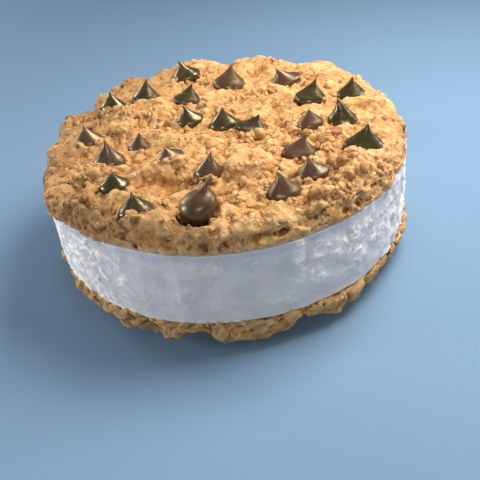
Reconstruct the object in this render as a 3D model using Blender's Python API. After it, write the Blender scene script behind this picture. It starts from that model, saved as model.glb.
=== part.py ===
"""A chocolate-chip cookie ice cream sandwich, lying flat.

Two lumpy cookies hold a thick round of vanilla ice cream between them. Chips stand in sockets in
the upper cookie, and more of them lie pressed into the underside of the lower one.

Lengths are in millimetres until MM turns them into Blender's metres. The layers share one upright
axis, and a bearing is in degrees, anticlockwise from +X as seen from above.
"""

import math

import bmesh
import bpy
from mathutils import Vector, noise

MM = 0.001
GAP = 0.3  # left between pieces that touch

# The layers, from the table up.
SANDWICH_RADIUS = 44
LOWER_COOKIE_HEIGHT = 7.2
ICE_CREAM_HEIGHT = 18.1
ICE_CREAM_BOTTOM = LOWER_COOKIE_HEIGHT + GAP
UPPER_COOKIE_BOTTOM = ICE_CREAM_BOTTOM + ICE_CREAM_HEIGHT + GAP

# Cookies: a grid of even cells makes the face, and EDGE_RINGS makes the side below it.
UPPER_CELLS = 22
LOWER_CELLS = 18
FACE_SHARE = 0.91  # of the rim's radius
EDGE_RINGS = ((0.96, 0.88), (0.99, 0.63), (1.0, 0.30), (0.975, 0.0))  # (radius, height) shares

UPPER_SHOULDER = 5.8  # the face's height over the cookie's flat side, beside the rim
UPPER_CROWN = 8.0  # and at the middle
UPPER_RIM_RADIUS = 44.2
UPPER_ROUGHNESS = 0.9
UPPER_LUMP_SIZE = 9
UPPER_NOTCHES = (  # (bearing, half width in degrees, depth) between the rim's lobes
    (17, 7, 1.5),
    (53, 6, 1.9),
    (85, 7, 3.2),
    (117, 7, 2.8),
    (148, 9, 3.4),
    (169, 6, 2.0),
    (-175, 14, 1.0),
    (-20, 8, 0.4),
    (-72, 6, 0.8),
    (-122, 7, 0.7),
    (-150, 14, -1.2),
)
UPPER_MOUNDS = (  # (x, y, radius, height) of the dough's own hills and hollows
    (4, -22, 6, 1.7),
    (25, -14, 6, 1.0),
    (29, -25, 6, 1.1),
    (19, -36, 6, 0.9),
    (-13, -18, 6, 1.0),
    (-18, 10, 8, 1.4),
    (-25, 1, 5, 1.1),
    (-36, 9, 6, 1.3),
    (-36, -20, 7, 0.9),
    (-15, -37, 6, 0.9),
    (18, 34, 7, 1.5),
    (28, 23, 7, 0.9),
    (-20, 30, 7, 1.0),
    (11, 27, 6, -2.1),
    (-13, -26, 5, -1.2),
    (6, -13, 5, -0.9),
    (0, 11, 6, -0.7),
    (39, -4, 6, -0.8),
)

LOWER_SHOULDER = 4.1  # the face's depth under the cookie's flat side, beside the rim
LOWER_CROWN = 10.4  # what rises past LOWER_COOKIE_HEIGHT is pressed flat into the foot
LOWER_RIM_RADIUS = 45.0
LOWER_ROUGHNESS = 0.8
LOWER_LUMP_SIZE = 7
LOWER_NOTCHES = (
    (-38, 8, 1.3),
    (-60, 9, -1.0),
    (-72, 4, 0.7),
    (-87, 11, -1.2),
    (-104, 5, 0.9),
    (-113, 5, -1.3),
    (-120, 3, 0.6),
    (-127, 5, -1.0),
    (-137, 6, 1.2),
    (-160, 9, 1.4),
    (20, 9, 1.4),
    (66, 8, 1.0),
    (112, 9, 1.5),
    (165, 8, 1.1),
)
LOWER_MOUNDS = (
    (-26, -34, 5, 2.0),
    (-18, -40, 6, 2.6),
    (2, -41, 11, 2.2),
    (22, -38, 8, 2.2),
    (34, -25, 6, 1.0),
    (-40, -12, 7, 0.7),
    (36, 22, 8, 0.9),
    (4, 41, 7, 1.0),
    (-33, 26, 8, 0.8),
)

ICE_CREAM_SIDES = 64
ICE_CREAM_RINGS = (  # (share of the height, inset from SANDWICH_RADIUS)
    (0.0, 1.1),
    (0.05, 0.2),
    (0.3, -0.1),
    (0.62, 0.15),
    (0.93, 0.1),
    (1.0, 0.8),
)
ICE_CREAM_WAVE = 0.35

# Chips: (x, y, width, rise over the dough, lean, lean's bearing, length over width, long way's bearing)
CHIPS = (
    (-7.3, 29.5, 7.0, 4.2, 1.5, 180, 1.15, -10),
    (-18.2, 18.7, 6.3, 5.0, 0.9, 0, 1.10, 0),
    (-27.1, 17.7, 6.0, 4.1, 0.1, 180, 1.15, -15),
    (4.0, 19.3, 7.6, 5.3, 0.9, 0, 1.10, 0),
    (-7.5, 11.4, 5.8, 4.1, 2.1, 10, 1.15, 15),
    (18.5, 17.5, 6.4, 3.6, 2.4, 180, 1.30, -10),
    (23.0, 5.0, 7.0, 4.6, 1.5, 0, 1.15, 10),
    (33.1, 5.6, 6.6, 4.6, 0.5, 0, 1.10, 0),
    (28.3, -8.0, 6.2, 5.5, 1.0, 180, 1.15, -20),
    (30.7, -19.4, 7.0, 4.8, 1.0, 0, 1.25, -5),
    (20.7, -8.5, 5.4, 3.6, 0.1, 180, 1.15, 10),
    (-7.0, 0.5, 6.0, 3.9, 1.1, 180, 1.15, -10),
    (0.9, -3.6, 6.2, 4.3, 0.1, 0, 1.15, 0),
    (7.2, -6.7, 5.8, 2.9, 2.2, 0, 1.20, 5),
    (-31.5, -1.5, 6.2, 3.9, 0.5, 180, 1.15, -10),
    (-19.0, -8.5, 4.8, 3.6, 0.6, 0, 1.10, 0),
    (-25.5, -13.5, 6.2, 5.4, 0.2, 180, 1.20, -20),
    (-11.8, -17.5, 5.8, 2.7, 0.9, 180, 1.15, 0),
    (-3.6, -24.5, 5.8, 4.5, 0.9, 0, 1.10, 10),
    (16.5, -20.5, 6.6, 3.8, 1.2, 0, 1.15, 10),
    (18.0, -29.0, 6.0, 3.7, 1.2, 180, 1.15, -5),
    (11.1, -33.7, 6.6, 4.6, 0.8, 180, 1.10, 0),
    (-6.5, -36.5, 7.6, 7.2, 3.8, 5, 1.00, 0),
    (-24.1, -23.8, 5.6, 3.6, 0.2, 0, 1.15, -10),
    (-19.1, -33.8, 6.2, 4.3, 0.2, 180, 1.20, 10),
)
BULB_CHIP = 22  # the place in CHIPS of the one big drop with a round body and a thin tip
CHIP_SIDES = 10
CHIP_DEPTH = 2.0  # sunk in the dough
# A chip's profile: (share of the rise, or of the depth below 0, radius over width)
DROP_RINGS = ((-1.0, 0.38), (-0.35, 0.49), (0.10, 0.49), (0.38, 0.31), (0.72, 0.11))
BULB_RINGS = (
    (-1.0, 0.26),
    (-0.6, 0.43),
    (0.12, 0.50),
    (0.34, 0.45),
    (0.52, 0.28),
    (0.64, 0.11),
    (0.84, 0.06),
)
CHIP_CURL = 1.7  # power of the height by which a chip's tip leans over

UNDER_CHIPS = (  # (x, y, width, length over width, long way's bearing)
    (10.0, 5.0, 7.0, 1.10, 20),
    (-9.0, 11.0, 6.4, 1.20, 80),
    (-13.0, -9.0, 7.2, 1.10, -30),
    (5.5, -15.0, 6.2, 1.15, 50),
    (22.5, -8.5, 6.8, 1.20, -60),
    (16.0, 22.0, 6.6, 1.10, 0),
    (-21.5, 19.0, 6.8, 1.15, 35),
    (-28.0, -6.0, 6.2, 1.10, 70),
    (-6.0, -29.0, 7.0, 1.15, 10),
    (-2.5, 30.0, 6.6, 1.20, -15),
)
UNDER_CHIP_RINGS = ((0.0, 0.36), (0.3, 0.46), (0.9, 0.50), (1.8, 0.44))  # (height, radius over width)
UNDER_CHIP_RECESS = 0.4  # keeps each face off the table
CUTTER_REACH = 1.5  # past the dough's face

COOKIE_COLOUR = (0.62, 0.36, 0.15)
LOWER_COOKIE_COLOUR = (0.50, 0.29, 0.12)
ICE_CREAM_COLOUR = (0.86, 0.87, 0.90)
CHIP_COLOUR = (0.11, 0.065, 0.040)


def clear_scene():
    for obj in list(bpy.data.objects):
        bpy.data.objects.remove(obj)


def toward(bearing, length=1.0):
    """The flat vector of this length along a bearing."""
    return Vector((math.cos(math.radians(bearing)), math.sin(math.radians(bearing)), 0)) * length


def lumps(x, y, size, layer):
    """Smooth noise from -1 to 1 whose hills are about `size` across. Each `layer` is another field."""
    return noise.noise(Vector((x / size, y / size, layer)))


def hill(distance, radius):
    """1 at the middle of a round hill, falling smoothly to almost nothing at its radius."""
    return math.exp(-2.5 * (distance / radius) ** 2)


def mounds_at(x, y, mounds):
    return sum(height * hill(math.hypot(x - mx, y - my), radius) for mx, my, radius, height in mounds)


def notches_at(bearing, notches):
    """How far the rim draws in at a bearing."""
    drawn_in = 0
    for middle, half_width, depth in notches:
        apart = abs((bearing - middle + 180) % 360 - 180)
        drawn_in += depth * hill(apart, half_width)
    return drawn_in


def rim_radius(bearing, radius, roughness, notches, layer):
    around = toward(bearing, SANDWICH_RADIUS)
    uneven = roughness * lumps(around.x, around.y, 14, layer)
    return radius + 0.6 * uneven - notches_at(bearing, notches)


def upper_rim(bearing):
    return rim_radius(bearing, UPPER_RIM_RADIUS, UPPER_ROUGHNESS, UPPER_NOTCHES, layer=1.5)


def lower_rim(bearing):
    return rim_radius(bearing, LOWER_RIM_RADIUS, LOWER_ROUGHNESS, LOWER_NOTCHES, layer=4.5)


def upper_height(x, y):
    """Height of the upper cookie's face over its flat side."""
    bearing = math.degrees(math.atan2(y, x))
    share = math.hypot(x, y) / upper_rim(bearing)
    dome = UPPER_SHOULDER + (UPPER_CROWN - UPPER_SHOULDER) * (1 - share**2)
    rough = UPPER_ROUGHNESS * lumps(x, y, UPPER_LUMP_SIZE, layer=0.3)
    fold = 0.5 * notches_at(bearing, UPPER_NOTCHES) * share**4
    return dome + rough + mounds_at(x, y, UPPER_MOUNDS) - fold


def lower_height(x, y):
    """Depth of the lower cookie's face under its flat side. Its middle is pressed flat by the table."""
    bearing = math.degrees(math.atan2(y, x))
    share = math.hypot(x, y) / lower_rim(bearing)
    dome = LOWER_SHOULDER + (LOWER_CROWN - LOWER_SHOULDER) * (1 - share**2)
    rough = LOWER_ROUGHNESS * lumps(x, y, LOWER_LUMP_SIZE, layer=7.3)
    fold = 0.4 * notches_at(bearing, LOWER_NOTCHES) * share**4
    free = dome + rough + mounds_at(x, y, LOWER_MOUNDS) - fold
    return min(free, LOWER_COOKIE_HEIGHT)


def disc_of_cells(bm, cells):
    """A disc of radius 1 in even quads: a square grid whose four sides are bowed out."""
    bmesh.ops.create_grid(bm, x_segments=cells, y_segments=cells, size=1)
    for vert in bm.verts:
        u, v = vert.co.xy
        vert.co.xy = u * math.sqrt(1 - v * v / 2), v * math.sqrt(1 - u * u / 2)


def extrude_ring(bm, edges):
    """Adds a ring outside a loop of edges. It returns the ring's edges and its vertices."""
    new = bmesh.ops.extrude_edge_only(bm, edges=edges)["geom"]
    ring_edges = [item for item in new if isinstance(item, bmesh.types.BMEdge) and item.is_boundary]
    ring_verts = [item for item in new if isinstance(item, bmesh.types.BMVert)]
    return ring_edges, ring_verts


def cookie_mesh(name, cells, rim, height, flat_side, facing):
    """A cookie's lumpy face, rounded side and flat side. `facing` is 1 if the face looks up, or -1."""
    bm = bmesh.new()
    disc_of_cells(bm, cells)
    rings = [(list(bm.verts), FACE_SHARE, 1.0)]
    edges = [edge for edge in bm.edges if edge.is_boundary]
    for radius_share, height_share in EDGE_RINGS:
        edges, verts = extrude_ring(bm, edges)
        rings.append((verts, radius_share, height_share))
    bmesh.ops.edgeloop_fill(bm, edges=edges)

    for verts, radius_share, height_share in rings:
        for vert in verts:
            radius = rim(math.degrees(math.atan2(vert.co.y, vert.co.x)))
            face = vert.co.xy * radius * FACE_SHARE
            place = vert.co.xy * radius * radius_share
            z = flat_side + facing * height_share * height(face.x, face.y)
            vert.co = Vector((place.x, place.y, z)) * MM
    return finished_mesh(name, bm)


def lofted_mesh(name, rings, tip=None):
    """A closed mesh through rings of points, from the bottom up. It ends in a flat cap or at a tip."""
    bm = bmesh.new()
    loops = [[bm.verts.new(point * MM) for point in ring] for ring in rings]
    sides = len(loops[0])
    for low, high in zip(loops, loops[1:]):
        for i in range(sides):
            j = (i + 1) % sides
            bm.faces.new((low[i], low[j], high[j], high[i]))
    bm.faces.new(loops[0])
    if tip is None:
        bm.faces.new(loops[-1])
    else:
        peak = bm.verts.new(tip * MM)
        for i in range(sides):
            bm.faces.new((loops[-1][i], loops[-1][(i + 1) % sides], peak))
    return finished_mesh(name, bm)


def finished_mesh(name, bm):
    bmesh.ops.recalc_face_normals(bm, faces=bm.faces)
    mesh = bpy.data.meshes.new(name)
    bm.to_mesh(mesh)
    bm.free()
    mesh.shade_smooth()
    mesh.set_sharp_from_angle(angle=math.radians(50))
    return mesh


def oval(centre, radius, length_over_width, bearing, sides):
    """Points round a level oval. Its width stays 2 * radius, and it is longer along the bearing."""
    points = []
    for i in range(sides):
        angle = math.tau * i / sides
        along = toward(bearing, radius * length_over_width * math.cos(angle))
        across = toward(bearing + 90, radius * math.sin(angle))
        points.append(centre + along + across)
    return points


def chip_mesh(name, chip, profile, grow=0.0):
    """A chip as a drop of chocolate, its tip leaning over. `grow` makes its socket's cutter."""
    x, y, width, rise, lean, lean_bearing, stretch, long_bearing = chip
    ground = Vector((x, y, UPPER_COOKIE_BOTTOM + upper_height(x, y)))
    rings = []
    for share_up, share_out in profile:
        if share_up < 0:
            centre = ground + Vector((0, 0, share_up * (CHIP_DEPTH + grow)))
        else:
            centre = ground + Vector((0, 0, share_up * (rise + grow)))
            centre += toward(lean_bearing, lean * share_up**CHIP_CURL)
        rings.append(oval(centre, width * share_out + grow, stretch, long_bearing, CHIP_SIDES))
    tip = ground + Vector((0, 0, rise + grow)) + toward(lean_bearing, lean)
    return lofted_mesh(name, rings, tip)


def under_chip_face(x, y):
    """Height of a pressed chip's face over the table: just proud of the dough, and off the table."""
    dough = LOWER_COOKIE_HEIGHT - lower_height(x, y)
    return max(dough - UNDER_CHIP_RECESS, UNDER_CHIP_RECESS)


def under_chip_mesh(name, chip):
    """A chip pressed almost level with the lower cookie's face."""
    x, y, width, stretch, long_bearing = chip
    rings = []
    for height, share_out in UNDER_CHIP_RINGS:
        centre = Vector((x, y, under_chip_face(x, y) + height))
        rings.append(oval(centre, width * share_out, stretch, long_bearing, CHIP_SIDES))
    return lofted_mesh(name, rings)


def under_socket_mesh(name, chip):
    """A pressed chip's socket, as its cutter: straight from below the dough, then closing over the chip."""
    x, y, width, stretch, long_bearing = chip
    wide_height, wide_share = UNDER_CHIP_RINGS[-2]
    top_height, top_share = UNDER_CHIP_RINGS[-1]
    face = under_chip_face(x, y)
    rings = []
    for z, share_out in (
        (face - CUTTER_REACH, wide_share),
        (face + wide_height, wide_share),
        (face + top_height + GAP, top_share),
    ):
        rings.append(oval(Vector((x, y, z)), width * share_out + GAP, stretch, long_bearing, CHIP_SIDES))
    return lofted_mesh(name, rings)


def ice_cream_mesh():
    rings = []
    for height_share, inset in ICE_CREAM_RINGS:
        ring = []
        for i in range(ICE_CREAM_SIDES):
            around = toward(360 * i / ICE_CREAM_SIDES)
            z = height_share * ICE_CREAM_HEIGHT
            wave = ICE_CREAM_WAVE * noise.noise(around * 3 + Vector((0, 0, z / 9)))
            point = around * (SANDWICH_RADIUS - inset + wave)
            point.z = ICE_CREAM_BOTTOM + z
            ring.append(point)
        rings.append(ring)
    return lofted_mesh("ice_cream", rings)


def material(name, colour, roughness):
    made = bpy.data.materials.new(name)
    made.use_nodes = True
    shader = made.node_tree.nodes["Principled BSDF"]
    shader.inputs["Base Color"].default_value = (*colour, 1)
    shader.inputs["Roughness"].default_value = roughness
    shader.inputs["Metallic"].default_value = 0
    made.diffuse_color = (*colour, 1)
    return made


def add_piece(mesh, look, sandwich):
    piece = bpy.data.objects.new(mesh.name, mesh)
    piece.parent = sandwich
    mesh.materials.append(look)
    bpy.context.collection.objects.link(piece)
    return piece


def add_socket(host, mesh, look, sandwich):
    """Cuts a piece's place in its host with a slightly larger copy of the piece."""
    cutter = add_piece(mesh, look, sandwich)
    cutter.display_type = "WIRE"
    cutter.hide_render = True
    socket = host.modifiers.new(mesh.name, "BOOLEAN")
    socket.operation = "DIFFERENCE"
    socket.solver = "EXACT"
    socket.object = cutter


def add_chips(upper_cookie, look, sandwich):
    for place, chip in enumerate(CHIPS):
        name = f"chip_{place + 1:02d}"
        profile = BULB_RINGS if place == BULB_CHIP else DROP_RINGS
        add_piece(chip_mesh(name, chip, profile), look, sandwich)
        add_socket(upper_cookie, chip_mesh(f"{name}_socket", chip, profile, GAP), look, sandwich)


def add_under_chips(lower_cookie, look, sandwich):
    for place, chip in enumerate(UNDER_CHIPS):
        name = f"under_chip_{place + 1:02d}"
        add_piece(under_chip_mesh(name, chip), look, sandwich)
        add_socket(lower_cookie, under_socket_mesh(f"{name}_socket", chip), look, sandwich)


def centre_on_origin(sandwich, layers):
    """Moves the whole sandwich so that the middle of its box stands over the origin."""
    points = [vert.co for layer in layers for vert in layer.data.vertices]
    for axis in (0, 1):
        low = min(point[axis] for point in points)
        high = max(point[axis] for point in points)
        sandwich.location[axis] = -(low + high) / 2


def build():
    clear_scene()
    sandwich = bpy.data.objects.new("sandwich", None)
    bpy.context.collection.objects.link(sandwich)

    dough = material("baked_dough", COOKIE_COLOUR, 0.80)
    lower_dough = material("lower_baked_dough", LOWER_COOKIE_COLOUR, 0.85)
    vanilla = material("vanilla_ice_cream", ICE_CREAM_COLOUR, 0.55)
    chocolate = material("chocolate", CHIP_COLOUR, 0.38)

    upper_mesh = cookie_mesh("top_cookie", UPPER_CELLS, upper_rim, upper_height, UPPER_COOKIE_BOTTOM, 1)
    lower_mesh = cookie_mesh("bottom_cookie", LOWER_CELLS, lower_rim, lower_height, LOWER_COOKIE_HEIGHT, -1)
    upper_cookie = add_piece(upper_mesh, dough, sandwich)
    lower_cookie = add_piece(lower_mesh, lower_dough, sandwich)
    ice_cream = add_piece(ice_cream_mesh(), vanilla, sandwich)

    add_chips(upper_cookie, chocolate, sandwich)
    add_under_chips(lower_cookie, chocolate, sandwich)
    centre_on_origin(sandwich, (upper_cookie, lower_cookie, ice_cream))


build()
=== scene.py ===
"""The looks of a chocolate-chip ice cream sandwich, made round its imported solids.

Each layer is a detailed mesh grown from its CAD solid: crumbly dough fused from the solid and
thousands of crumbs, and a frosty wall of ice cream. The chips are smooth drops that take their
places and sizes from their CAD nodes. Lengths are in millimetres inside the shape functions, and
in Blender's metres elsewhere.
"""

import math

import bmesh
import bpy
import numpy as np
from mathutils import Matrix, Vector, noise
from mathutils.bvhtree import BVHTree
from mathutils.kdtree import KDTree


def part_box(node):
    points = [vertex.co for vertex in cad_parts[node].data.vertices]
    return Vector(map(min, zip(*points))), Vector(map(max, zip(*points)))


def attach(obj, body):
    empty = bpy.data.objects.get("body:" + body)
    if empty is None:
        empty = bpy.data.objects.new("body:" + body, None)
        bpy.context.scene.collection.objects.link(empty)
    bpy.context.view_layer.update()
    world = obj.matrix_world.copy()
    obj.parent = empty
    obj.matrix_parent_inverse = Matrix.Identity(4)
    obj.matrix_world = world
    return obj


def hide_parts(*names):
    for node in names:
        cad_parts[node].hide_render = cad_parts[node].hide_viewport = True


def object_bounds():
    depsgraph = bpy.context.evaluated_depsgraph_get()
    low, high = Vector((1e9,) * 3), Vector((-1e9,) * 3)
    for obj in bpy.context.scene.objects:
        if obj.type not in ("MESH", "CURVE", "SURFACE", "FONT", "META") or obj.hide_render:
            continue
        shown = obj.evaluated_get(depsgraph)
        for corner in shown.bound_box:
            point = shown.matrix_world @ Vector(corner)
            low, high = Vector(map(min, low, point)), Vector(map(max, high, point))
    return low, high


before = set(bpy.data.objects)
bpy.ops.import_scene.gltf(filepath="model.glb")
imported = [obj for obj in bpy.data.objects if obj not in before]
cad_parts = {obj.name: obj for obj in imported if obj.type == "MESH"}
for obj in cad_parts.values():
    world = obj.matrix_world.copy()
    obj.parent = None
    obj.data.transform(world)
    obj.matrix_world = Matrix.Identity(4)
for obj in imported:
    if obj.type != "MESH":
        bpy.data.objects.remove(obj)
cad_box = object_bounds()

MM = 0.001
SEED = 7
VOXEL = 0.33

# ---------------------------------------------------------------- arrays and meshes


def unit(vectors):
    """Each row scaled to length 1."""
    length = np.linalg.norm(vectors, axis=-1, keepdims=True)
    return vectors / np.maximum(length, 1e-12)


def bell(distance, radius):
    """1 at distance 0, falling smoothly to almost nothing at the radius."""
    return np.exp(-2.5 * (distance / radius) ** 2)


def smoothstep(low, high, values):
    t = np.clip((values - low) / (high - low), 0, 1)
    return t * t * (3 - 2 * t)


def zone(bearing, middle, reach):
    """1 round a bearing, falling to 0 at the reach on each side, in degrees."""
    return smoothstep(reach, reach * 0.45, np.abs((bearing - middle + 180) % 360 - 180))


def turned(x, y, angle):
    """How far places lie along and across a line at this angle through the origin."""
    cos, sin = math.cos(angle), math.sin(angle)
    return cos * x + sin * y, cos * y - sin * x


def noise_at(points, size, layer=0.0):
    """Smooth noise from about -1 to 1 at each point, with hills about `size` across."""
    scaled = (points / size + np.array([layer, -layer, 2.3 * layer])).tolist()
    return np.array([noise.noise(p) for p in scaled])


def warped(points, amount, size, layer):
    """Points moved about by noise, so that what is laid out on them comes out uneven."""
    shift = [noise_at(points, size, layer + axis) for axis in range(3)]
    return points + amount * np.stack(shift, axis=1)


def billow_at(points, size, layer=0.0):
    """Rounded hills with creases between them, from 0 in a crease to about 1."""
    return np.minimum(np.abs(noise_at(points, size, layer)) * 2.2, 1.0)


def cells_at(points, size, layer=0.0):
    """Pebbles packed side by side: 1 at the middle of each, 0 in the cracks between them."""
    scaled = (points / size + np.array([layer, 0.7 * layer, -layer])).tolist()
    found = np.array([noise.voronoi(p)[0][:2] for p in scaled])
    return np.clip((found[:, 1] - found[:, 0]) * 1.6, 0, 1)


def strokes(places, size, layer, width):
    """Thin winding strokes: 1 along each, 0 between them."""
    return smoothstep(width, 0.0, np.abs(noise_at(places, size, layer)))


def node_arrays(node):
    """The welded points, in millimetres, and the triangles of a CAD node."""
    bm = bmesh.new()
    bm.from_mesh(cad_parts[node].data)
    bmesh.ops.remove_doubles(bm, verts=bm.verts, dist=1e-6)
    bmesh.ops.triangulate(bm, faces=bm.faces)
    points = np.array([vert.co for vert in bm.verts]) / MM
    faces = np.array([[vert.index for vert in face.verts] for face in bm.faces])
    bm.free()
    return points, faces


def joined(parts):
    """One list of points and one of triangles, from several pairs of them."""
    points, faces, count = [], [], 0
    for part_points, part_faces in parts:
        points.append(part_points)
        faces.append(part_faces + count)
        count += len(part_points)
    return np.concatenate(points), np.concatenate(faces)


def mesh_of(name, points, faces):
    """A mesh from points in millimetres and from faces that all have as many corners."""
    mesh = bpy.data.meshes.new(name)
    corners = faces.shape[1]
    mesh.vertices.add(len(points))
    mesh.vertices.foreach_set("co", (points * MM).astype(np.float32).ravel())
    mesh.loops.add(faces.size)
    mesh.loops.foreach_set("vertex_index", faces.astype(np.int32).ravel())
    mesh.polygons.add(len(faces))
    mesh.polygons.foreach_set("loop_start", np.arange(0, faces.size, corners, dtype=np.int32))
    mesh.update(calc_edges=True)
    mesh.validate()
    return mesh


def add_object(name, mesh):
    piece = bpy.data.objects.new(name, mesh)
    bpy.context.scene.collection.objects.link(piece)
    return piece


def rows_of(items, field, width, kind=np.int32):
    """A row of numbers for each item of a mesh, such as the vertices of each face."""
    values = np.empty(len(items) * width, kind)
    items.foreach_get(field, values)
    return values.reshape(-1, width)


def points_of(mesh):
    return rows_of(mesh.vertices, "co", 3, np.float32).astype(float) / MM


def normals_of(mesh):
    return rows_of(mesh.vertices, "normal", 3, np.float32).astype(float)


def set_points(mesh, points):
    mesh.vertices.foreach_set("co", (points * MM).astype(np.float32).ravel())
    mesh.update()


def averaged(values, edges, times):
    """Each row mixed with its neighbours' mean, over and over."""
    count = np.maximum(np.bincount(edges.ravel(), minlength=len(values)), 1)
    for _ in range(times):
        total = np.empty_like(values)
        for axis in range(values.shape[1]):
            column = values[:, axis]
            total[:, axis] = np.bincount(edges[:, 0], column[edges[:, 1]], len(values))
            total[:, axis] += np.bincount(edges[:, 1], column[edges[:, 0]], len(values))
        values = 0.35 * values + 0.65 * total / count[:, None]
    return values


def set_attribute(mesh, name, values):
    layer = mesh.attributes.new(name, "FLOAT", "POINT")
    layer.data.foreach_set("value", values.astype(np.float32))


def relief_of(mesh, times):
    """How far each point stands over the surface round it, in millimetres. Pits are negative."""
    points = points_of(mesh)
    even = averaged(points, rows_of(mesh.edges, "vertices", 2), times)
    return np.einsum("ij,ij->i", points - even, normals_of(mesh))


def modified(name, mesh, kind, **settings):
    """What one modifier makes of a mesh. The mesh itself is removed."""
    source = add_object(name, mesh)
    modifier = source.modifiers.new(kind.lower(), kind)
    for setting, value in settings.items():
        setattr(modifier, setting, value)
    graph = bpy.context.evaluated_depsgraph_get()
    made = bpy.data.meshes.new_from_object(source.evaluated_get(graph))
    bpy.data.objects.remove(source)
    bpy.data.meshes.remove(mesh)
    made.name = name
    return made


def fused(name, points, faces, voxel):
    """One closed skin over overlapping closed shapes."""
    mesh = mesh_of(name, points, faces)
    return modified(name, mesh, "REMESH", mode="VOXEL", voxel_size=voxel * MM)


def thinned(mesh, most):
    """The mesh with its flattest triangles merged, down to this many."""
    mesh.calc_loop_triangles()
    count = len(mesh.loop_triangles)
    if count <= most:
        return mesh
    return modified(mesh.name, mesh, "DECIMATE", ratio=most / count)


def fill_holes(mesh):
    """Closes each open edge with one face, and turns all faces outward."""
    bm = bmesh.new()
    bm.from_mesh(mesh)
    bmesh.ops.holes_fill(bm, edges=[edge for edge in bm.edges if edge.is_boundary], sides=0)
    bmesh.ops.recalc_face_normals(bm, faces=bm.faces)
    bm.to_mesh(mesh)
    bm.free()


def tube(rows):
    """The points and squares of a tube, from rows of places that each go once round it."""
    grid = np.array(rows)
    index = np.arange(grid.shape[0] * grid.shape[1]).reshape(grid.shape[:2])
    ahead = np.roll(index, -1, axis=1)
    quads = np.stack([index[:-1], ahead[:-1], ahead[1:], index[1:]], axis=-1)
    return grid.reshape(-1, 3), quads.reshape(-1, 4)


def tree_of(points):
    """A search tree over these points."""
    tree = KDTree(len(points))
    for i, point in enumerate(points):
        tree.insert(point, i)
    tree.balance()
    return tree


# ---------------------------------------------------------------- crumbs


def crumb_template(subdivisions):
    bm = bmesh.new()
    bmesh.ops.create_icosphere(bm, subdivisions=subdivisions, radius=1)
    points = np.array([vert.co for vert in bm.verts])
    faces = np.array([[vert.index for vert in face.verts] for face in bm.faces])
    bm.free()
    return points, faces


FINE_CRUMB = crumb_template(3)
CRUMB = crumb_template(2)
CRUMB_STRETCH = (0.70, 1.22)  # least and most along each of its axes
CRUMB_DENTS = ((0.11, 3.1), (0.06, 4.6))  # (depth as a share of the radius, waves)


def ice_axis():
    """Where the ice cream's axis stands, in millimetres."""
    low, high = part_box("ice_cream")
    return (low.x + high.x) / 2 / MM, (low.y + high.y) / 2 / MM


AXIS = ice_axis()


def random_turns(rng, count):
    """Random rotation matrices, from random quaternions."""
    w, x, y, z = unit(rng.normal(size=(count, 4))).T
    rows = [
        [1 - 2 * (y * y + z * z), 2 * (x * y - z * w), 2 * (x * z + y * w)],
        [2 * (x * y + z * w), 1 - 2 * (x * x + z * z), 2 * (y * z - x * w)],
        [2 * (x * z - y * w), 2 * (y * z + x * w), 1 - 2 * (x * x + y * y)],
    ]
    return np.array(rows).transpose(2, 0, 1)


def crumbs(rng, centres, sizes, template=None):
    """Uneven rounded crumbs of these radii at these centres."""
    base, faces = template or CRUMB
    count = len(centres)
    shapes = base[None] * rng.uniform(*CRUMB_STRETCH, (count, 1, 3))
    shapes = np.einsum("nij,nkj->nki", random_turns(rng, count), shapes)
    dents = np.ones((len(base), count))
    for depth, waves in CRUMB_DENTS:
        dents += depth * np.sin(waves * base @ rng.normal(size=(3, count)) + rng.uniform(0, 6, count))
    shapes *= dents.T[:, :, None] * sizes[:, None, None]
    points = (shapes + centres[:, None]).reshape(-1, 3)
    steps = np.arange(count)[:, None, None] * len(base)
    return points, (faces[None] + steps).reshape(-1, 3)


def scattered(rng, points, faces, count, weight):
    """Random places on a surface and their normals. `weight` says how thickly they lie."""
    a, b, c = points[faces[:, 0]], points[faces[:, 1]], points[faces[:, 2]]
    cross = np.cross(b - a, c - a)
    chance = np.linalg.norm(cross, axis=1) * weight((a + b + c) / 3, unit(cross))
    picked = rng.choice(len(faces), count, p=chance / chance.sum())
    u, v = rng.uniform(size=(2, count, 1))
    over = (u + v) > 1
    u, v = np.where(over, 1 - u, u), np.where(over, 1 - v, v)
    places = a[picked] * (1 - u - v) + b[picked] * u + c[picked] * v
    return places, unit(cross)[picked]


# ---------------------------------------------------------------- the chips' places

CHIP_SUNK = 2.0  # how deep the CAD chips stand in the dough
BULB_SWELL = 1.13  # how far the round chip swells past its CAD solid's foot


def chip_places(prefix):
    """What the shapes take from each chip node: its foot, half width, half length and tip."""
    found = []
    for name in sorted(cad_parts):
        if not name.startswith(prefix):
            continue
        points, _ = node_arrays(name)
        foot = points[points[:, 2] < points[:, 2].min() + 0.01]
        middle = foot.mean(axis=0)
        spread = points[points[:, 2] < points[:, 2].min() + CHIP_SUNK * 0.7 + 0.01] - middle
        _, _, axes = np.linalg.svd(spread[:, :2])
        half_length, half_width = np.abs(spread[:, :2] @ axes.T).max(axis=0)
        found.append(
            {
                "name": name,
                "foot": middle,
                "half_width": half_width,
                "half_length": half_length,
                "long_way": math.atan2(axes[0, 1], axes[0, 0]),
                "tip": points[points[:, 2].argmax()],
                "points": points,
            }
        )
    return found


def is_bulb(chip):
    """Whether this is the large round chip with a thin tip."""
    return chip["tip"][2] - chip["foot"][2] - CHIP_SUNK > 6.0


TOP_CHIPS = chip_places("chip_")
UNDER_CHIPS = chip_places("under_chip_")


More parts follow.
